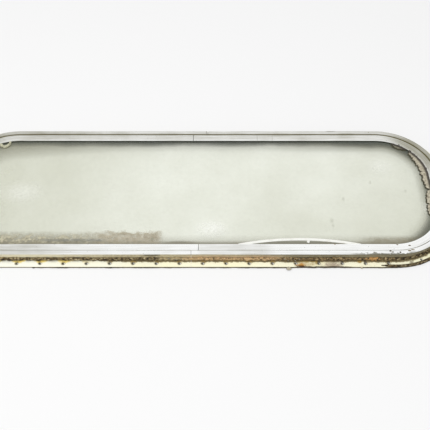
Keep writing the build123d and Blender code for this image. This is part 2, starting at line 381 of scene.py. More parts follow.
def flange_stains(tree, place, grime, from_screw, by_wall, enamel):
    """Enamel with its stains: brown over the screw holes and dirt round them, dark runs from the wall.

    To the right it has a mauve stain, a rust spot, flecks and a black-brown stretch of its worn edge. Its
    outer edge face is darkened all along by dirt and painted shade."""
    run_middle = add(tree, "Math", (from_screw, screw_pitch / 2), operation="PINGPONG")
    off_line = add(tree, "Math", (place.u, screw_line / MM), operation="SUBTRACT")
    hole_place = add(tree, "CombineXYZ", (run_middle, off_line, 0.0))
    from_hole = add(tree, "VectorMath", (hole_place,), out="Value", operation="LENGTH")
    hole_rim = add(tree, "MapRange", (from_hole, 2.6, 4.6, 0.8, 0.0))
    rim_broken = add(tree, "MapRange", (grime, 0.35, 0.6, 0.35, 1.0))
    over_hole = add(tree, "VectorMath", (hole_place, (0.0, -2.6, 0.0)), operation="SUBTRACT")
    from_over = add(tree, "VectorMath", (over_hole,), out="Value", operation="LENGTH")
    hole_brown = add(tree, "MapRange", (from_over, 2.0, 5.6, 0.95, 0.0))
    brown_along = stretch(tree, place.x, -200.0, -110.0, 150.0, 190.0)
    brown = combine(
        tree, "MAXIMUM",
        times(tree, hole_brown, brown_along, rim_broken),
        patch(tree, place, (199.5, -145.5, 4.0, 6.5), 0.4, 1.0, 0.85),
        patch(tree, place, (270.5, -144.5, 5.0, 4.0), 0.4, 1.0, 0.85),
        times(tree, patch(tree, place, (185.0, -147.0, 22.0, 10.0), 0.4, 1.0, 0.7), rim_broken),
    )
    run_narrow = add(tree, "MapRange", (run_middle, 1.6, 3.0, 0.9, 0.0))
    right_holes = stretch(tree, place.x, 150.0, 240.0, 326.0, 330.0)
    frayed = add(tree, "MapRange", (grime, 0.3, 0.7, -0.6, 0.6))
    mauve = patch(tree, place, (226.0, -151.0, 15.0, 8.0), 0.2, 1.5, 0.85, frayed, "SMOOTHSTEP")
    rust_spot = patch(tree, place, (173.5, -152.6, 9.0, 7.4), 0.4, 1.1, 1.0, frayed, "SMOOTHSTEP")
    rust_low = add(tree, "MapRange", (place.u, 32.6, 34.6, 0.0, 1.0))
    flecks = add(tree, "MapRange", (grime, 0.56, 0.7, 0.0, 1.0))
    right_more = add(tree, "MapRange", (place.x, 120.0, 240.0, 0.1, 0.4))
    # The flange's outer edge face, darkened all along by dirt and painted shade, blacker on a stretch
    edge_dark = lower_stretch(tree, place, dark_edge_run)
    edge_wider = add(tree, "MapRange", (grime, 0.35, 0.65, 0.6, 2.0))
    edge_out = add(tree, "Math", (place.u, times(tree, edge_dark, edge_wider)), operation="ADD")
    edge = add(tree, "MapRange", (edge_out, flange_out / MM - 0.7, flange_out / MM - 0.3, 0.0, 0.9))
    return laid_over(
        tree, enamel,
        (brown, "#A88A42"),
        (times(tree, hole_rim, rim_broken), "#77715F"),
        (times(tree, run_narrow, by_wall, right_holes), "#4E4637"),
        (mauve, "#9C8878"),
        (rust_spot, laid_over(tree, "#C28C40", (rust_low, "#4A2E10"))),
        (times(tree, flecks, right_more), "#A08B66"),
        (edge, laid_over(tree, "#6B5C40", (edge_dark, "#33291A"))),
    )


def painted_frame():
    """Pressed aluminium frame: bare land, cream enamel on the flange with rust runs, brown grime on the wall.

    Grime and painted shade lie in the groove beside the ring, painted shadow under the land and painted shade
    on the flange's outer edge, and behind, it is dull metal smeared with old mastic."""
    grime_size = 5.0
    material, tree, place = window_material("painted_aluminium_frame")
    grime = add(tree, "TexNoise", {
        "Vector": place.spot, "Scale": 1 / grime_size, "Detail": 6.0, "Roughness": 0.7,
    })
    from_screw = add(tree, "Math", (place.x, screw_row_shift + screw_pitch / 2), operation="SUBTRACT")
    by_wall = add(tree, "MapRange", (place.u, 32.5, 28.5, 0.0, 1.0))

    # Zones of the section
    on_land = add(tree, "MapRange", (place.d, 16.9, 17.5, 0.0, 1.0))
    outside = add(tree, "MapRange", (place.u, wall_out / MM - 0.5, wall_out / MM - 0.2, 0.0, 1.0))
    inner_leg = add(tree, "MapRange", (place.u, 16.4, 16.2, 0.0, 1.0))
    above_stop = add(tree, "MapRange", (place.d, 9.0, 10.0, 0.0, 1.0))
    # The land's inner leg in the groove: grime and painted shade
    in_groove = times(tree, inner_leg, above_stop)
    low = add(tree, "MapRange", (place.d, 2.5, 2.1, 0.0, 1.0))
    off_back = add(tree, "MapRange", (place.d, 0.05, 0.3, 0.0, 1.0))
    outer_side = times(tree, outside, off_back)
    on_flange = times(tree, low, outer_side)

    # The zones put together
    back, smears = frame_back(tree, place, in_groove)
    wall = frame_wall(tree, place, grime)
    enamel = flange_enamel(tree, place, grime, from_screw, by_wall)
    flange = flange_stains(tree, place, grime, from_screw, by_wall, enamel)
    bright, bright_rough, bright_height, land_dirt_and_shade = aluminium_face(tree, place)
    face = laid_over(tree, back, (outer_side, wall), (on_flange, flange), (on_land, bright))
    covered = combine(tree, "MAXIMUM", smears, outer_side, in_groove)
    bare = add(tree, "Math", (1.0, covered), operation="SUBTRACT")
    clean_land = add(tree, "Math", (1.0, land_dirt_and_shade), operation="SUBTRACT")
    metal = add(tree, "Math", (bare, times(tree, on_land, clean_land)), operation="MAXIMUM")
    rough = add(tree, "Mix", {0: on_land, 2: 0.62, 3: bright_rough}, data_type="FLOAT")
    height = add(tree, "Mix", {0: on_land, 2: grime, 3: bright_height}, data_type="FLOAT")
    return surfaced(material, face, rough, metal, height, 0.2, 0.4)


def dull_aluminium():
    """Mill-finish aluminium bar in the open channel: grey, chalky with oxide."""
    chalk_size = 7.0
    material, tree, place = window_material("mill_aluminium")
    chalk = add(tree, "TexNoise", {"Vector": place.spot, "Scale": 1 / chalk_size, "Detail": 5.0})
    rough = add(tree, "MapRange", (chalk, 0.3, 0.7, 0.4, 0.6))
    return surfaced(material, laid_over(tree, "#B9B9B5", (chalk, "#83817A")), rough, 0.8)


def dust_cover(tree, place, clouds, fine):
    """How much of the glass its dust hides: more towards both ends and low on the right."""
    left_end = add(tree, "MapRange", (place.x, -60.0, -400.0, 0.03, 0.32))
    right_end = add(tree, "MapRange", (place.x, 260.0, 420.0, 0.0, 0.12))
    right_half = add(tree, "MapRange", (place.x, 60.0, 130.0, 0.0, 1.0))
    lower_glass = add(tree, "MapRange", (place.z, 20.0, -70.0, 0.0, 0.12))
    cloudy = add(tree, "MapRange", (clouds, 0.35, 0.7, 0.0, 0.1))
    grainy = add(tree, "MapRange", (fine, 0.45, 0.8, 0.0, 0.04))
    return combine(tree, "ADD", left_end, right_end, times(tree, right_half, lower_glass), cloudy, grainy)


def dried_silt_and_shade(tree, place, fine, mottled):
    """Layers of silt and painted shade along the lower edge of the glass, each a mask and its colour.

    Painted shade darkens the glass towards its lower edge and in its lower left corner. The silt thickens
    down the glass, most on the left and at the lower right, and is tan where it is thick, with a tide line,
    dried rings, pale blotches and grey dashes."""
    tide_size = 14.0
    # Painted shade low on the glass and in its lower left corner
    low_shade = add(tree, "MapRange", (place.z, -96.0, -114.0, 0.0, 0.24))
    corner_shade = patch(tree, place, (-360.0, -112.0, 62.0, 34.0), 0.2, 1.0, 0.42, fade="SMOOTHSTEP")
    low = add(tree, "MapRange", (place.z, -88.0, -103.0, 0.0, 0.4))
    left = add(tree, "MapRange", (place.x, -270.0, -140.0, 1.0, 0.35))
    left_end = add(tree, "MapRange", (place.x, -140.0, -40.0, 1.0, 0.0))
    right = stretch(tree, place.x, 262.0, 310.0, 360.0, 400.0)
    right_low = add(tree, "MapRange", (place.z, -98.0, -106.0, 0.0, 1.0))
    left_part = times(tree, left, left_end)
    right_part = times(tree, right, right_low)
    sides = add(tree, "Math", (left_part, right_part), operation="ADD")

    # Thick tan silt, its top in waves and its ends ragged
    tide = add(tree, "TexNoise", {"Vector": place.spot, "Scale": 1 / tide_size, "Detail": 2.0})
    tide_wave = add(tree, "MapRange", (tide, 0.3, 0.7, -6.0, 6.0))
    tan_top = add(tree, "Math", (place.z, tide_wave), operation="ADD")
    ragged = add(tree, "MapRange", (fine, 0.3, 0.7, -6.0, 6.0))
    ragged_along = add(tree, "Math", (place.x, ragged), operation="ADD")
    tan_thick = add(tree, "MapRange", (fine, 0.38, 0.62, 0.2, 0.66))
    tan_up = add(tree, "MapRange", (tan_top, -88.0, -101.0, 0.0, 1.0))
    tan_along = stretch(tree, ragged_along, -190.0, -140.0, -66.0, -52.0)
    tan_band = times(tree, tan_up, tan_along, tan_thick)
    tan_specks = add(tree, "MapRange", (fine, 0.55, 0.66, 0.0, 0.9))
    tide_line = stretch(tree, tan_top, -98.0, -94.5, -92.0, -89.0)
    rings = stretch(tree, tide, 0.44, 0.49, 0.51, 0.56)
    rings_along = stretch(tree, ragged_along, -420.0, -360.0, -66.0, -52.0)

    # Blotches and dashes of the left stretch
    blotches = add(tree, "MapRange", (fine, 0.46, 0.58, 0.0, 0.75))
    blotch_up = stretch(tree, tan_top, -115.0, -110.0, -102.0, -94.0)
    blotch_left = add(tree, "MapRange", (place.x, -240.0, -140.0, 1.0, 0.5))
    blotch_end = add(tree, "MapRange", (place.x, -140.0, -125.0, 1.0, 0.0))
    dashes = add(tree, "MapRange", (fine, 0.45, 0.53, 0.0, 0.75))
    dash_up = stretch(tree, place.z, -112.0, -110.0, -107.0, -104.0)
    dash_along = stretch(tree, place.x, -268.0, -244.0, -160.0, -140.0)
    return [
        (low_shade, "#8A8672"),
        (corner_shade, "#8A8672"),
        (times(tree, low, sides, mottled), "#756844"),
        (times(tree, blotches, blotch_up, blotch_left, blotch_end), "#CFC9AC"),
        (tan_band, "#BFB39B"),
        (times(tree, tide_line, tan_along, tan_thick), "#A2977C"),
        (times(tree, tan_band, tan_specks), "#7F7866"),
        (times(tree, rings, tan_up, rings_along, tan_thick, 0.6), "#938A70"),
        (times(tree, dash_up, dash_along, dashes), "#6F7069"),
    ]


def edge_grime_and_shade(tree, place, clouds):
    """Layers of grime and painted shade on the glass, each a mask and its colour.

    Grime lies along the lower edge and in a lens left of the middle joint; a painted shadow lies under the
    sprung strip, and painted shade beside the ring."""
    near_edge = add(tree, "MapRange", (place.u, -9.0, -2.0, 0.0, 0.62))
    lower_half = add(tree, "MapRange", (place.z, -50.0, -100.0, 0.0, 1.0))
    lens = patch(tree, place, (-24.0, -116.0, 33.0, 7.5), 0.5, 1.0, 0.65)
    # Painted shadow under the sprung strip
    under_low = add(tree, "MapRange", (place.z, -106.0, -112.0, 0.0, 0.5))
    under_along = stretch(tree, place.x, 84.0, 130.0, 225.0, 272.0)

    # Painted shade beside the ring runs along the top and down the right end, wider to both ends and most at
    # the right
    wavy = add(tree, "MapRange", (clouds, 0.3, 0.7, -3.0, 3.0))
    right_wider = add(tree, "MapRange", (place.x, 150.0, 330.0, 0.0, 2.6))
    to_ends = add(tree, "MapRange", (away(tree, place.x, 15.0), 100.0, 360.0, 0.25, 1.55))
    wavy_out = combine(tree, "ADD", place.u, wavy, right_wider, to_ends)
    ring_line = add(tree, "MapRange", (wavy_out, -12.0, 1.0, 0.0, 0.88))
    ring_from = add(tree, "MapRange", (place.x, -345.0, -150.0, -48.0, -27.0))
    ring_near = add(tree, "MapRange", (place.u, ring_from, -8.0, 0.0, 0.28))
    upper = add(tree, "MapRange", (place.z, 10.0, 70.0, 0.0, 1.0))
    right_side = add(tree, "MapRange", (place.x, 345.0, 405.0, 0.0, 0.9))
    beside = add(tree, "Math", (upper, right_side), operation="MAXIMUM")
    return [
        (times(tree, near_edge, lower_half), "#746F58"),
        (lens, "#7C7866"),
        (times(tree, under_low, under_along), "#6E6C5A"),
        (times(tree, ring_near, to_ends, beside), "#6B6A48"),
        (times(tree, ring_line, beside), "#2E352B"),
    ]


# Specks on the glass and places where it was wiped: middle and half sizes in millimetres, and strength
speck_places = (
    ((309, 19, 3.2, 4.8), 0.17),
    ((368, -1, 3.0, 4.5), 0.17),
    ((257, -19, 3.2, 4.8), 0.17),
    ((232, -66, 4.5, 6.75), 0.17),
    ((233, -77, 3.0, 4.5), 0.17),
    ((-71, -106, 3.4, 5.1), 0.6),
    ((-94, -112, 2.6, 3.9), 0.5),
)
wiped_places = (
    ((28, -84, 36, 22), 0.6),
    ((-306, -4, 50, 32), 0.3),
    ((332, 56, 34, 24), 0.25),
    ((402, -40, 16, 20), 0.3),
)


def dusty_glass():
    """Float glass under years of dust: greenish, dusty towards its ends, wiped paler in places.

    Silt has dried along its lower edge over painted shade, a painted shadow lies under the sprung strip and
    painted shade beside the ring, and specks stick to it."""
    cloud_size = 90.0
    fine_size = 7.0
    material, tree, place = window_material("dusty_float_glass")
    clouds = add(tree, "TexNoise", {"Vector": place.spot, "Scale": 1 / cloud_size, "Detail": 4.0})
    fine = add(tree, "TexNoise", {
        "Vector": place.spot, "Scale": 1 / fine_size, "Detail": 6.0, "Roughness": 0.65,
    })
    mottled = add(tree, "MapRange", (fine, 0.35, 0.65, 0.55, 1.25))
    layers = dried_silt_and_shade(tree, place, fine, mottled) + edge_grime_and_shade(tree, place, clouds)
    for oval, amount in speck_places:
        layers.append((patch(tree, place, oval, 0.0, 1.0, amount), "#83836D"))
    for oval, amount in wiped_places:
        wiped = patch(tree, place, oval, 0.0, 1.0, amount, fade="SMOOTHSTEP")
        layers.append((times(tree, wiped, mottled), "#FAFBF5"))

    # Each layer hides more of the glass, and tints the film by its share of what is hidden
    cover = dust_cover(tree, place, clouds, fine)
    film = "#CFD0BC"
    for mask, tint in layers:
        bare = add(tree, "Math", (1.0, mask), operation="SUBTRACT", use_clamp=True)
        clear = add(tree, "Math", (1.0, cover), operation="SUBTRACT")
        cover = add(tree, "Math", (1.0, times(tree, bare, clear)), operation="SUBTRACT")
        share = add(tree, "Math", (mask, cover), operation="DIVIDE", use_clamp=True)
        film = laid_over(tree, film, (share, tint))
    clear_face = add(tree, "BsdfTransparent", {"Color": "#FCFDF9"})
    film_face = add(tree, "BsdfPrincipled", {"Base Color": film, "Roughness": 0.8})
    body = add(tree, "MixShader", (cover, clear_face, film_face))
    shine = add(tree, "BsdfGlossy", {"Color": "#FFFFFF", "Roughness": 0.08})
    mirror = add(tree, "Fresnel", {"IOR": 1.5})
    behind = add(tree, "NewGeometry", out="Backfacing")
    front = add(tree, "Math", (1.0, behind), operation="SUBTRACT")
    surface = add(tree, "MixShader", (times(tree, mirror, front), body, shine))
    add(tree, "OutputMaterial", {"Surface": surface})
    return material


def perished_rubber():
    """Black glazing rubber gone chalky."""
    bloom_size = 6.0
    material, tree, place = window_material("perished_rubber")
    bloom = add(tree, "TexNoise", {"Vector": place.spot, "Scale": 1 / bloom_size, "Detail": 5.0})
    face = laid_over(tree, "#1E1E1C", (bloom, "#4A4945"))
    return surfaced(material, face, 0.75, height=bloom, strength=0.3, depth=0.3)


def old_mastic():
    """Dried bedding mastic: crumbly brown, near-black hollows, painted shadow at the foot, pale dust on its
    lumps.

    Rust has stained it orange past the middle, and a patch of it tan near the lower right corner."""
    crumb_size = 4.2
    material, tree, place = window_material("dried_bedding_mastic")
    crumbs = add(tree, "TexNoise", {
        "Vector": place.spot, "Scale": 1 / crumb_size, "Detail": 5.0, "Roughness": 0.65,
    })
    # Painted shadow along the foot of the rope, by the flange
    foot = add(tree, "MapRange", (place.d, 2.2, 5.0, 0.75, 0.0))
    on_wall = add(tree, "MapRange", (place.d, 2.4, 3.4, 0.0, 1.0))
    layers = [
        (add(tree, "MapRange", (crumbs, 0.39, 0.48, 0.0, 1.0)), "#5F5037"),
        (add(tree, "MapRange", (crumbs, 0.48, 0.57, 0.0, 1.0)), "#94845F"),
        (add(tree, "MapRange", (crumbs, 0.57, 0.7, 0.0, 1.0)), "#E2D6B4"),
        (foot, "#2A2417"),
    ]
    for run, levels, tint in (
        (pale_run, (0.36, 0.56, 0.3, 0.85), "#C2B18A"),
        (rust_run, (0.4, 0.56, 0.15, 0.88), "#DCB98A"),
        (warm_run, (0.44, 0.56, 0.0, 0.5), "#9F8258"),
    ):
        on_lumps = add(tree, "MapRange", (crumbs, *levels))
        layers.append((times(tree, lower_stretch(tree, place, run), on_lumps, on_wall), tint))
    broken = add(tree, "MapRange", (crumbs, 0.35, 0.65, 0.7, -0.7))
    tan_patch = patch(tree, place, (293.0, -142.0, 10.0, 6.0), 0.5, 1.0, 0.8, broken, "SMOOTHSTEP")
    face = laid_over(tree, "#1C160D", *layers, (tan_patch, "#CF9C5E"))
    return surfaced(material, face, 0.9, height=crumbs, strength=0.6, depth=0.6)


def white_strip():
    """Soft white vinyl strip, slightly yellowed, with dirt in its scratches."""
    stain_size = 12.0
    material, tree, place = window_material("white_vinyl_strip")
    stains = add(tree, "TexNoise", {"Vector": place.spot, "Scale": 1 / stain_size, "Detail": 5.0})
    amount = add(tree, "MapRange", (stains, 0.5, 0.75, 0.0, 0.5))
    return surfaced(material, laid_over(tree, "#F4F4EE", (amount, "#C9C4B2")), 0.45)


def torn_sealant(name, hollows, skin, side_shade, by_ring_start, by_ring_full):
    """Putty-like sealant: mottled skin, its torn sides darkened as painted shade, and darkened by dirt and
    painted shadow where it meets the ring.
    """
    mottle_size = 5.0
    material, tree, place = window_material(name)
    mottle = add(tree, "TexNoise", {
        "Vector": place.spot, "Scale": 1 / mottle_size, "Detail": 5.0, "Roughness": 0.6,
    })
    skinned = add(tree, "MapRange", (mottle, 0.34, 0.6, 0.0, 1.0))
    # Painted shade on its sides, which turn away from the front
    facing = add(tree, "NewGeometry", out="Normal")
    turned = add(tree, "VectorMath", (facing, (0.0, -1.0, 0.0)), out="Value", operation="DOT_PRODUCT")
    torn_side = add(tree, "MapRange", (turned, 0.45, 0.8, side_shade, 0.0))
    # Dirt and painted shadow of the ring where the sealant meets it
    by_ring = times(tree, stretch(tree, place.u, by_ring_start, by_ring_full, 6.0, 8.0), 0.95)
    dirty_and_shaded = add(tree, "Math", (torn_side, by_ring), operation="MAXIMUM")
    face = laid_over(tree, hollows, (skinned, skin), (dirty_and_shaded, "#35302A"))
    return surfaced(material, face, 0.7, height=mottle, strength=0.4, depth=0.5)


def dark_packing():
    """Black-green dirt that has crept out round the sealant, matt and a little uneven: as a rim under the
    sealant and a plug in each screw hole it is dirt and painted shadow.
    """
    patch_size = 6.0
    material, tree, place = window_material("dark_packing")
    patches = add(tree, "TexNoise", {"Vector": place.spot, "Scale": 1 / patch_size, "Detail": 4.0})
    return surfaced(material, laid_over(tree, "#2B2C22", (patches, "#6A6853")), 0.9)


ring_metal = drawn_aluminium()
frame_metal = painted_frame()
bar_metal = dull_aluminium()
glass = dusty_glass()
rubber = perished_rubber()
mastic = old_mastic()
vinyl = white_strip()
sealant = torn_sealant("tan_butyl_sealant", "#877F6C", "#C8C1AC", 0.92, -6.2, -2.8)
soiled_sealant = torn_sealant("soiled_butyl_sealant", "#67634F", "#A09B86", 0.92, -5.8, -4.6)
pale_sealant = torn_sealant("pale_butyl_sealant", "#8E8C74", "#C8C7AC", 0.3, 0.0, 2.0)
dirt_and_shade = dark_packing()

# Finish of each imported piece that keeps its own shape
finishes = {
    "outer_frame_left": frame_metal,
    "outer_frame_right": frame_metal,
    "glazing_ring_left": ring_metal,
    "glazing_ring_right": ring_metal,
    "top_splice_plate": bar_metal,
    "bottom_splice_plate": bar_metal,
    "glass_pane": glass,
    "glazing_channel": rubber,
    "loose_glazing_strip": vinyl,
}
for node_name, finish in finishes.items():
    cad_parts[node_name].data.materials.clear()
    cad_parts[node_name].data.materials.append(finish)


# Modelling tools

# Points nearer to each other than this are one
touching = 0.01 * MM


def settle(size=(1, 1, 1)):
    """Gives the primitive just added its size, and puts its place, turn and size into its mesh."""
    piece = bpy.context.object
    piece.scale = size
    bpy.ops.object.transform_apply(location=True, rotation=True, scale=True)
    return piece


def pick(piece, kind, test):
    """Opens a piece for editing, with those of its vertices, edges or polygons selected that pass a test."""
    bpy.ops.object.mode_set(mode="OBJECT")
    mesh = piece.data
    for part in (*mesh.vertices, *mesh.edges, *mesh.polygons):
        part.select = False
    for part in getattr(mesh, kind):
        part.select = test(part)
    kinds = ("vertices", "edges", "polygons")
    bpy.context.tool_settings.mesh_select_mode = [kind == each for each in kinds]
    bpy.ops.object.mode_set(mode="EDIT")


def open_all(piece):
    """Opens a piece for editing with all of it selected."""
    pick(piece, "vertices", lambda vertex: True)


def divide_long(piece, longest):
    """Cuts every edge that is much longer than a given length into steps of about that length."""
    def length(edge):
        ends = [piece.data.vertices[i].co for i in edge.vertices]
        return (ends[0] - ends[1]).length

    bpy.ops.object.mode_set(mode="OBJECT")
    lengths = sorted({round(length(edge), 4) for edge in piece.data.edges if length(edge) > 2 * longest})
    for run in lengths:
        pick(piece, "edges", lambda edge: abs(length(edge) - run) < 0.1 * MM)
        bpy.ops.mesh.subdivide(number_cuts=round(run / longest) - 1)
    bpy.ops.object.mode_set(mode="OBJECT")


def shape(piece, kind, **settings):
    """Gives a piece a modifier and applies it."""
    bpy.ops.object.mode_set(mode="OBJECT")
    modifier = piece.modifiers.new(kind, kind)
    for name, value in settings.items():
        setattr(modifier, name, value)
    bpy.ops.object.modifier_apply(modifier=modifier.name)


def soften(piece):
    """Rounds a piece by one step of subdivision."""
    shape(piece, "SUBSURF", levels=1, render_levels=1)


def push(piece, *reliefs, **settings):
    """Pushes a surface in and out by reliefs, each with its strength in millimetres."""
    for relief, strength in reliefs:
        shape(piece, "DISPLACE", texture=relief, texture_coords="LOCAL", strength=strength * MM, **settings)


def cloud(name, size):
    """Cloudy relief with lumps of a real size, for pushing a surface in and out."""
    relief = bpy.data.textures.new(name, "CLOUDS")
    relief.noise_scale = size
    relief.noise_depth = 2
    return relief


def complete(piece, name, material, slot, *nodes):
    """Names a finished piece, gives it its finish and seats it on the window."""
    bpy.ops.object.mode_set(mode="OBJECT")
    bpy.ops.object.shade_smooth()
    piece.name = name
    piece.data.name = name
    piece.data.materials.clear()
    piece.data.materials.append(material)
    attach(piece, "root")
    if nodes:
        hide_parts(*nodes)


swell = cloud("swell", 26 * MM)
lumps = cloud("lumps", 6 * MM)
grit = cloud("grit", 1.8 * MM)


# Bedding mastic: a rope of it lies in the corner of flange and wall, torn and lumpy on its free side

# Steps along a rope, and the level of a relief that leaves its surface where it is
rope_step = 3 * MM
rope_level = 0.42


def rope_end(x, y, z, half_out, half_deep, wall_side):
    """Oval face across the start of a rope of mastic, its free side marked for the lumps."""
    bpy.ops.mesh.primitive_circle_add(
        vertices=12, radius=1, fill_type="NGON", location=(x, y, z), rotation=(0, math.pi / 2, 0)
    )
    piece = settle((half_out, half_deep, 1))
    free = piece.vertex_groups.new(name="free_side")
    for vertex in piece.data.vertices:
        outward = (vertex.co.z - z) / half_out * wall_side
        forward = (y - vertex.co.y) / half_deep
        free.add([vertex.index], min(1.0, max(0.0, 0.3 + 0.6 * (outward + forward))), "REPLACE")
    open_all(piece)
    return piece


def draw_on(x, z, y=0):
    """Draws the open end of a rope, or a whole sheet, on by a straight run."""
    bpy.ops.mesh.extrude_region_move(TRANSFORM_OT_translate={"value": (x, y, z)})


def turn_on(side, level, angle, steps):
    """Draws an open end on round a corner of the window: side is right or left, level is up or down."""
    corner = (side * run_half, 0, centre_z + level * side_half)
    bpy.ops.mesh.spin(steps=steps, angle=side * angle, axis=(0, -1, 0), center=corner)


def roughen(piece, swelling, lumping, gritting):
    """Makes a smooth rope lumpy on its free side."""
    open_all(piece)
    bpy.ops.mesh.remove_doubles(threshold=touching)
    bpy.ops.mesh.normals_make_consistent(inside=False)
    divide_long(piece, rope_step)
    soften(piece)
    reliefs = ((swell, swelling), (lumps, lumping), (grit, gritting))
    push(piece, *reliefs, mid_level=rope_level, vertex_group="free_side")


bead_out = 0.9 * MM
bead_forward = 3.2 * MM
bead_half_out = 1.0 * MM
bead_half_deep = 3.4 * MM
bead_lead = 20 * MM
bead_turn_steps = 50

# Strengths of swell, lumps and grit in millimetres
bead_reliefs = (4.0, 5.0, 2.2)
squeeze_reliefs = (1.6, 1.2, 0.6)

bead_y = flange_face - bead_forward
bead_z = half_height + wall_out + bead_out

for side, node_name in ((1, "mastic_bead_top"), (-1, "mastic_bead_bottom")):
    low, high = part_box(node_name)
    rope = rope_end(low.x, bead_y, centre_z + side * bead_z, bead_half_out, bead_half_deep, side)
    draw_on(high.x - low.x, 0)
    roughen(rope, *bead_reliefs)
    complete(rope, node_name + "_torn", mastic, "mastic", node_name)

for side, node_name in ((1, "mastic_bead_right"), (-1, "mastic_bead_left")):
    start_x = side * (run_half - bead_lead)
    rope = rope_end(start_x, bead_y, centre_z + bead_z, bead_half_out, bead_half_deep, 1)
    draw_on(side * bead_lead, 0)
    turn_on(side, 1, math.pi / 2, bead_turn_steps)
    draw_on(0, -2 * side_half)
    turn_on(side, -1, math.pi / 2, bead_turn_steps)
    draw_on(-side * bead_lead, 0)
    roughen(rope, *bead_reliefs)
    complete(rope, node_name + "_torn", mastic, "mastic", node_name)

# Mastic that squeezed out under the lower edge of the flange, and rises to lap over it round the right
# corner: where it starts along the edge, its half sizes, and how far in and up it lies at its start and at
# the corner
squeeze_turn = math.radians(70)
squeeze_turn_steps = 35
edge_z = centre_z - half_height - flange_out
for name, start, half_out, half_deep, (start_in, start_up), (turn_in, turn_up) in (
    ("thin", -264, 0.65, 0.65, (0, 0.65), (0, 0.65)),
    ("thick", 304, 2.8, 1.2, (4.0, 0.2), (2.2, 2.2)),
):
    rope = rope_end(start * MM, -start_up * MM, edge_z + start_in * MM, half_out * MM, half_deep * MM, -1)
    draw_on(run_half - start * MM, (turn_in - start_in) * MM, (start_up - turn_up) * MM)
    turn_on(1, -1, -squeeze_turn, squeeze_turn_steps)
    roughen(rope, *squeeze_reliefs)
    complete(rope, "squeezed_mastic_" + name, mastic, "mastic")


# Sealant squeezed out from under the ring on to the glass at the ends, torn along its free edge

sealant_tuck = 4.3 * MM
sealant_band = 22.0 * MM
sealant_thick = 2.6 * MM
sealant_step = 1.2 * MM
# Thickness of the dark rim under the sealant, dirt and painted shadow
dark_rim_thick = 0.4 * MM

# Lengths of the tears along its edge, in millimetres
wide_tears = 7
fine_tears = 2.5

# Its lumps and grit, and those of the curl, in millimetres
band_reliefs = ((lumps, 1.6), (grit, 0.5))
curl_relief = (lumps, 1.8)


def end_place(side, point):
    """Millimetres along an end from the top of its upper corner, and out from the daylight edge."""
    out = side * point.x - run_half
    up = point.z - centre_z
    past = max(0.0, abs(up) - side_half)
    quarter = math.pi / 2 * corner_radius
    angle = math.atan2(past, out)
    straight = side_half - max(-side_half, min(side_half, up))
    along = quarter + straight - math.copysign(angle * corner_radius, up)
    return along / MM, (math.hypot(past, out) - corner_radius) / MM


def between(points, at):
    """Height of a line through a few points."""
    for (start, low), (end, high) in zip(points, points[1:]):
        if start <= at <= end:
            return low + (high - low) * (at - start) / (end - start)
    return 0.0


def drop_faces(piece, keep):
    """Tears away the faces of a sheet whose centres aren't kept."""
    pick(piece, "polygons", lambda face: not keep(face.center))
    bpy.ops.mesh.delete(type="FACE")


def thicken(piece, thickness):
    """Turns a torn sheet into a slab that stands forward of the glass."""
    open_all(piece)
    draw_on(0, 0, -thickness)
    open_all(piece)
    bpy.ops.mesh.normals_make_consistent(inside=False)


def smear(side, upper, lower, reach, grown, thickness):
    """Band round an end, torn to a reach that varies along it: grown makes it that much wider."""
    top = centre_z + side_half
    middle = half_width + sealant_tuck - sealant_band / 2
    start = (side * middle, glass_face, top + sealant_band / 2)
    bpy.ops.mesh.primitive_plane_add(size=sealant_band, location=start, rotation=(math.pi / 2, 0, 0))
    piece = settle()
    pick(piece, "vertices", lambda vertex: vertex.co.z > top + sealant_band / 2)
    bpy.ops.mesh.delete(type="VERT")
    open_all(piece)
    bpy.ops.mesh.subdivide(number_cuts=round(sealant_band / sealant_step))
    open_all(piece)
    turn_on(side, 1, -math.radians(upper), round(math.radians(upper) * corner_radius / sealant_step))
    bpy.ops.object.mode_set(mode="OBJECT")
    on_line = {v.index for v in piece.data.vertices if abs(v.co.z - top) < touching}
    pick(piece, "edges", lambda edge: set(edge.vertices) <= on_line)
    draw_on(0, -2 * side_half)
    turn_on(side, -1, math.radians(lower), round(math.radians(lower) * corner_radius / sealant_step))
    divide_long(piece, sealant_step)
    open_all(piece)
    bpy.ops.mesh.remove_doubles(threshold=touching)

    def keep(point):
        along, out = end_place(side, point)
        wide = noise.noise((along / wide_tears, side, 0))
        fine = noise.noise((along / fine_tears, side, 5))
        edge = between(reach, along)
        return edge > 0 and out > -edge * (1 + 0.3 * wide + 0.2 * fine) - grown

    drop_faces(piece, keep)
    thicken(piece, thickness)
    soften(piece)
    return piece


def torn_band(name, node, side, upper, lower, reach, rim_width, finish):
    """Lumpy sealant in place of its plain node, on a thin dark rim of dirt and painted shadow."""
    rim = smear(side, upper, lower, reach, rim_width, dark_rim_thick)
    complete(rim, name + "_dirt", dirt_and_shade, "sealant")
    band = smear(side, upper, lower, reach, 0, sealant_thick)
    push(band, *band_reliefs)
    complete(band, name, finish, "sealant", node)


# Reach of each smear over the glass: millimetres along the end, millimetres inward
right_reach = (
    (66, 0.5), (70, 6), (76, 8.5), (87, 10.5), (102, 12.5), (117, 13), (131, 12.5), (150, 11.5), (162, 11),
    (166, 3), (170, 10), (185, 13), (201, 15), (222, 15), (230, 9), (236, 0.5),
)
left_reach = ((78, 0.5), (100, 5), (120, 7), (150, 3), (180, 6), (215, 4), (240, 0.5))
flake_reach = ((31, 0.5), (34, 5), (40, 7.5), (49, 7.5), (56, 5.5), (60, 3.5), (62, 0.5))
torn_band("torn_sealant_right", "squeezed_sealant_right", 1, 52, 27, right_reach, 1.8, sealant)
torn_band("torn_sealant_left", "squeezed_sealant_left", -1, 40, 27, left_reach, 1.8, sealant)
torn_band("torn_sealant_flake", "sealant_flake", 1, 70, 1, flake_reach, 2.4, soiled_sealant)

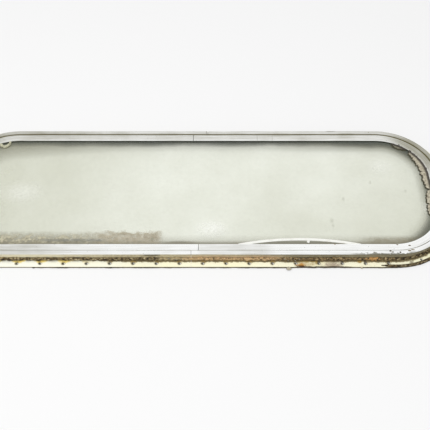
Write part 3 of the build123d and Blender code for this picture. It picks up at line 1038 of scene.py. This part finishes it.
# Curl of sealant that hangs out from under the ring near the upper left corner
curl_radius = 7.5 * MM
curl_thick = 2.0 * MM
curl_forward = 1.2 * MM
curl_drop = 5 * MM
curl_swell = 0.9 * MM
curl_flattened = (1.1, 1.25, 0.8)
curl_x = -356 * MM
curl_y = glass_face - curl_forward
curl_z = centre_z + half_height - curl_drop
bpy.ops.mesh.primitive_torus_add(
    location=(curl_x, curl_y, curl_z), rotation=(math.pi / 2, 0, 0), major_segments=40, minor_segments=10,
    major_radius=curl_radius, minor_radius=curl_thick,
)
curl = settle(curl_flattened)
open_all(curl)
bpy.ops.mesh.bisect(
    plane_co=(curl_x, 0, curl_z + 0.5 * curl_radius), plane_no=(-0.3, 0, 1), use_fill=True, clear_outer=True
)
pick(curl, "vertices", lambda vertex: vertex.co.z < curl_z - 0.35 * curl_radius)
bpy.ops.transform.shrink_fatten(value=curl_swell)
soften(curl)
push(curl, curl_relief)
complete(curl, "sealant_curl", pale_sealant, "sealant")


# Crumbs and flecks: places in millimetres from the centre, with half sizes along, through and up


def crumb(x, d, z, along, through, up):
    """Rough crumb, lumpier the thicker it is."""
    place = (x * MM, -d * MM, centre_z + z * MM)
    bpy.ops.mesh.primitive_ico_sphere_add(subdivisions=3, radius=1, location=place)
    piece = settle((along * MM, through * MM, up * MM))
    thinnest = min(through, up)
    push(piece, (lumps, 1.6 * thinnest), (grit, 0.8 * thinnest))
    return piece


def gather(pieces):
    """Joins pieces into the first of them."""
    bpy.ops.object.select_all(action="DESELECT")
    for piece in pieces:
        piece.select_set(True)
    bpy.context.view_layer.objects.active = pieces[0]
    bpy.ops.object.join()
    return pieces[0]


crumb_places = (
    (319.8, 18.0, -133.9, 1.8, 0.35, 1.2),
    (323.2, 18.0, -136.0, 2.0, 0.35, 1.2),
    (351, 18.0, -133.4, 2.8, 0.35, 1.3),
    (357, 18.0, -131.6, 3.0, 0.3, 0.9),
    (353.6, 15.8, -121.4, 2.4, 0.3, 1.2),
    (333.9, 15.4, -119.6, 1.8, 0.3, 0.9),
    (335.5, 18.0, -136.5, 1.5, 0.3, 1.6),
    (231, 15.4, -118.8, 1.4, 0.3, 0.8),
    (321, 18.0, 137.0, 0.9, 0.3, 0.9),
    (-262.5, 1.1, -155.3, 3.0, 0.9, 1.1),
    (-254, 0.9, -155.1, 5.0, 0.8, 0.8),
)
crumbs = gather([crumb(*place) for place in crumb_places])
complete(crumbs, "mastic_crumbs", mastic, "mastic")
pale_places = (
    (153.5, 1.9, -158.0, 4.4, 1.6, 3.6),
    (273, 1.2, -156.0, 2.2, 1.0, 1.8),
    (-41, 6.6, -141.6, 5, 1.6, 1.3),
    (-30, 5.0, -142.2, 4, 1.8, 1.5),
    (-21, 6.0, -141.8, 3, 1.3, 1.3),
    (-86, 5.5, -141.8, 2.5, 1.2, 1.2),
    (147, 7.6, -143.2, 1.5, 1.2, 1.2),
    (153, 4.2, -144.0, 1.2, 1.1, 1.2),
    (159, 6.8, -143.4, 1.5, 1.2, 1.2),
    (164.5, 3.8, -144.4, 1.3, 1.1, 1.2),
    (171, 7.4, -143.2, 1.2, 1.1, 1.1),
    (196, 5.5, -142.0, 3, 1.4, 1.3),
)
pale_crumbs = gather([crumb(*place) for place in pale_places])
complete(pale_crumbs, "sealant_crumbs", sealant, "sealant")
strip_tag = crumb(188, 13.4, -112.0, 2.4, 0.8, 2.6)
complete(strip_tag, "strip_tag", vinyl, "strip")


# Dark dirt packed into the screw holes, against one side of each, as painted shadow of each hole's wall

screw_row_count = 18
end_screw_pitch = 57 * MM
plug_x = -0.7 * MM
plug_z = -0.2 * MM


def screw_places():
    """Centres of the screw holes: even rows along the top and bottom, the ends shared out between them."""
    row_half = (screw_row_count - 1) * screw_pitch / 2
    level = half_height + screw_line
    bend_radius = corner_radius + screw_line
    bend = math.pi / 2 * bend_radius
    places = []
    for side in (-1, 1):
        for step in range(screw_row_count):
            places.append(((screw_row_shift - row_half + step * screw_pitch) * MM, side * level))
    for side in (-1, 1):
        row_end = (screw_row_shift + side * row_half) * MM
        total = 2 * (run_half - side * row_end + bend + side_half)
        gaps = round(total / end_screw_pitch)
        for step in range(1, gaps):
            from_middle = total * step / gaps - total / 2
            run = abs(from_middle)
            angle = min(max(run - side_half, 0), bend) / bend_radius
            straight = max(run - side_half - bend, 0)
            x = run_half + bend_radius * math.cos(angle) - straight
            z = min(run, side_half) + bend_radius * math.sin(angle)
            places.append((side * x, math.copysign(z, from_middle)))
    return places


plug = crumb(0, 0.7, -centre_z / MM, 2.0, 0.7, 2.0)
plugs = []
for x, z in screw_places():
    copy = plug.copy()
    copy.data = plug.data.copy()
    bpy.context.scene.collection.objects.link(copy)
    copy.data.transform(Matrix.Translation((x + plug_x, 0, centre_z + z + plug_z)))
    plugs.append(copy)
hole_shadow_plugs = gather(plugs)
bpy.data.objects.remove(plug)
complete(hole_shadow_plugs, "screw_hole_dirt", dirt_and_shade, "sealant")


# Board behind the window, seen only from its front

board_side = 5.0
board_gap = 0.6 * MM
board_glow = 0.48


def pale_board():
    """Matt white board: white to the eye, with the window's soft shadow on it, and open from behind."""
    material, tree = new_material("matt_white_board")
    seen = add(tree, "LightPath", out="Is Camera Ray")
    glow = times(tree, seen, board_glow)
    front = add(tree, "BsdfPrincipled", {
        "Base Color": "#B2B2B2", "Roughness": 0.9, "Emission Color": "#FFFFFF", "Emission Strength": glow,
    })
    behind = add(tree, "NewGeometry", out="Backfacing")
    clear = add(tree, "BsdfTransparent", {"Color": "#FFFFFF"})
    surface = add(tree, "MixShader", (behind, front, clear))
    add(tree, "OutputMaterial", {"Surface": surface})
    return material


bpy.ops.mesh.primitive_plane_add(
    size=board_side, location=(0, board_gap, centre_z), rotation=(math.pi / 2, 0, 0)
)
board = settle()
board.name = "board"
board.data.materials.append(pale_board())
board.visible_diffuse = False
board.visible_glossy = False


# Light: an even white room, whiter to the eye and in reflections than as a light, and one broad soft lamp
# in front of the window, a little to the lower left

room_light = 0.54
room_white = 1.0
lamp_width = 2.4
lamp_watts = 35
lamp_place = Vector((-0.35, -2.1, -0.35))

world = bpy.data.worlds.new("white_room")
bpy.context.scene.world = world
world.use_nodes = True
room = world.node_tree
room.nodes.clear()
rays = add(room, "LightPath", out=None)
seen = add(room, "Math", (rays.outputs["Is Camera Ray"], rays.outputs["Is Glossy Ray"]), operation="MAXIMUM")
level = add(room, "MapRange", (seen, 0.0, 1.0, room_light, room_white))
light = add(room, "Background", {"Color": "#FFFFFF", "Strength": level})
add(room, "OutputWorld", {"Surface": light})

lamp_data = bpy.data.lights.new("broad_lamp", "AREA")
lamp_data.size = lamp_width
lamp_data.energy = lamp_watts
lamp = bpy.data.objects.new("broad_lamp", lamp_data)
bpy.context.scene.collection.objects.link(lamp)
lamp.location = lamp_place
lamp.rotation_euler = (Vector((0, 0, centre_z)) - lamp_place).to_track_quat("-Z", "Y").to_euler()
lamp.visible_glossy = False

# Camera at the photograph's place, above the lower edge of the lying window
photo_pixels = 430
focal_pixels = 684
camera_right = 0.0332
camera_forward = 0.9353
camera_below = 0.7737
camera_tilt = math.radians(52.1)
camera_data = bpy.data.cameras.new("camera")
camera_data.sensor_width = 36
camera_data.lens = focal_pixels / photo_pixels * camera_data.sensor_width
camera = bpy.data.objects.new("camera", camera_data)
bpy.context.scene.collection.objects.link(camera)
camera.location = (camera_right, -camera_forward, centre_z - camera_below)
camera.rotation_euler = (math.pi - camera_tilt, 0, 0)
bpy.context.scene.camera = camera
bpy.context.scene.view_settings.view_transform = "Standard"
